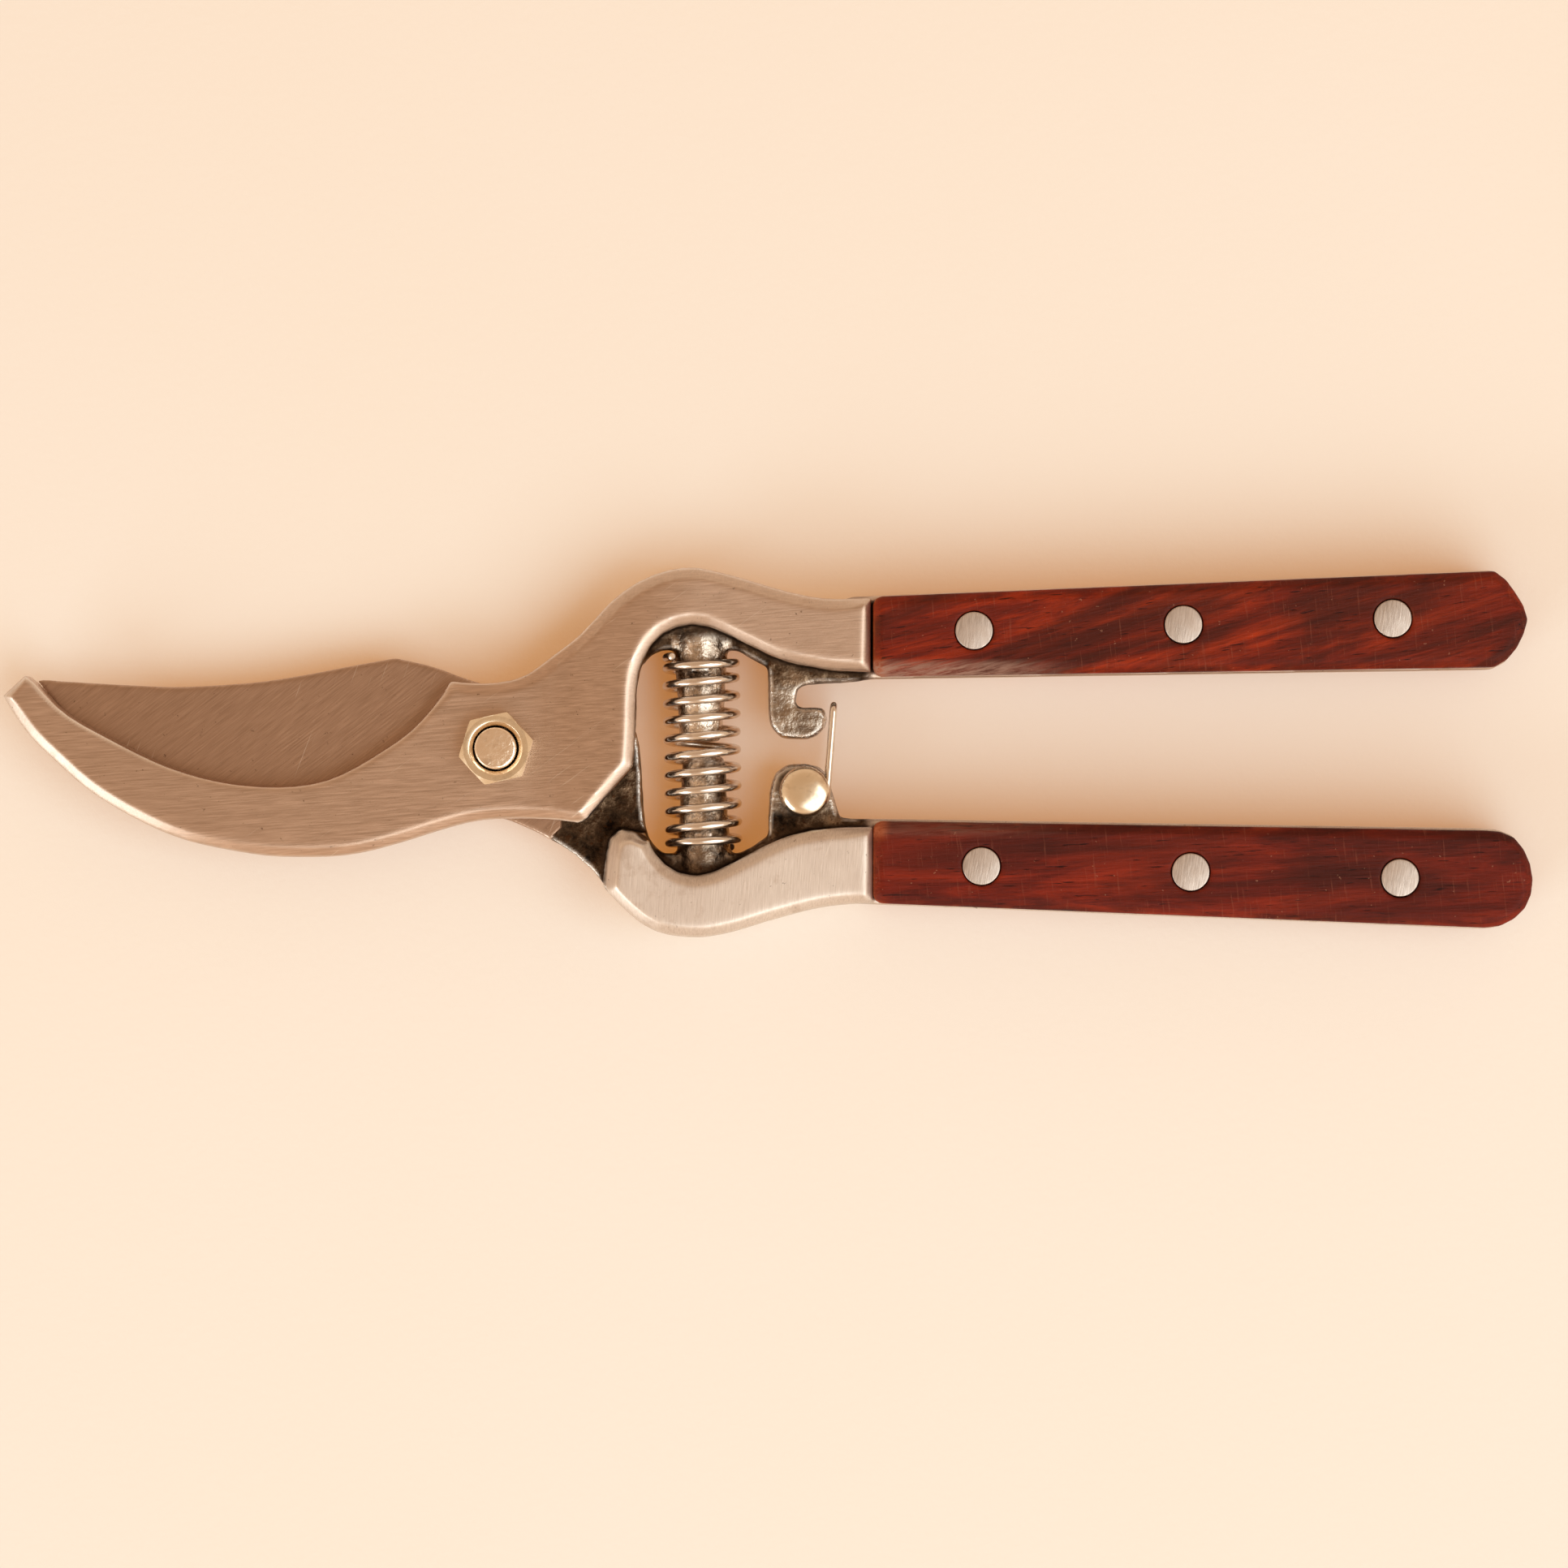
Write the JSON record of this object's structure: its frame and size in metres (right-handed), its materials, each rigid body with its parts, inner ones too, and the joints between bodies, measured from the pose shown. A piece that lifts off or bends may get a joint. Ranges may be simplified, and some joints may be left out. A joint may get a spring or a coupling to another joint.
{
  "type": "pruning shears",
  "caption": "Bypass pruning shears with a curved blade and hook, wooden handle scales, a coil return spring and a wire catch.",
  "frame": {"origin": "on the pivot axis, in the plane of the bolt head's back face, which is the lowest plane of the shears laid on their back", "axes": "+X along the handles away from the jaws, +Y towards the hook arm's handle, +Z the way the nut faces"},
  "size_m": [0.2115, 0.0511, 0.0163],
  "materials": {
    "hook_steel": "satin, brushed along the jaw, with a bright forged bevel",
    "blade_steel": "satin, brushed across the blade",
    "nickel": "bright plated",
    "spring_steel": "bright drawn wire",
    "catch_wire": "bright drawn wire",
    "rivet_steel": "ground flush",
    "upper_wood": "varnished red-brown with streaked grain",
    "lower_wood": "varnished dark red"
  },
  "bodies": {
    "blade_side": {"blade_arm": "blade_steel", "pivot_bolt": "nickel", "pivot_nut": "nickel", "return_spring": "spring_steel", "catch_rivet": "nickel", "lower_scale_front": "lower_wood", "lower_scale_back": "lower_wood", "lower_rivet_1_front": "rivet_steel", "lower_rivet_1_back": "rivet_steel", "lower_rivet_2_front": "rivet_steel", "lower_rivet_2_back": "rivet_steel", "lower_rivet_3_front": "rivet_steel", "lower_rivet_3_back": "rivet_steel"},
    "hook_side": {"hook_arm": "hook_steel", "upper_scale_front": "upper_wood", "upper_scale_back": "upper_wood", "upper_rivet_1_front": "rivet_steel", "upper_rivet_1_back": "rivet_steel", "upper_rivet_2_front": "rivet_steel", "upper_rivet_2_back": "rivet_steel", "upper_rivet_3_front": "rivet_steel", "upper_rivet_3_back": "rivet_steel"},
    "catch": {"catch_loop": "catch_wire"}
  },
  "joints": [
    {"name": "pivot", "type": "hinge", "parent": "blade_side", "child": "hook_side", "pos_m": [0, 0, 0.0065], "axis": [0, 0, 1], "range_deg": [-1, 34], "stiffness_Nm_per_rad": 1.2, "springref_deg": 40.11, "deforming": ["return_spring"]},
    {"name": "catch_swing", "type": "hinge", "parent": "blade_side", "child": "catch", "pos_m": [0.0425, -0.00595, 0.0065], "axis": [0, 0, 1], "range_deg": [-80, 18.5]}
  ]
}
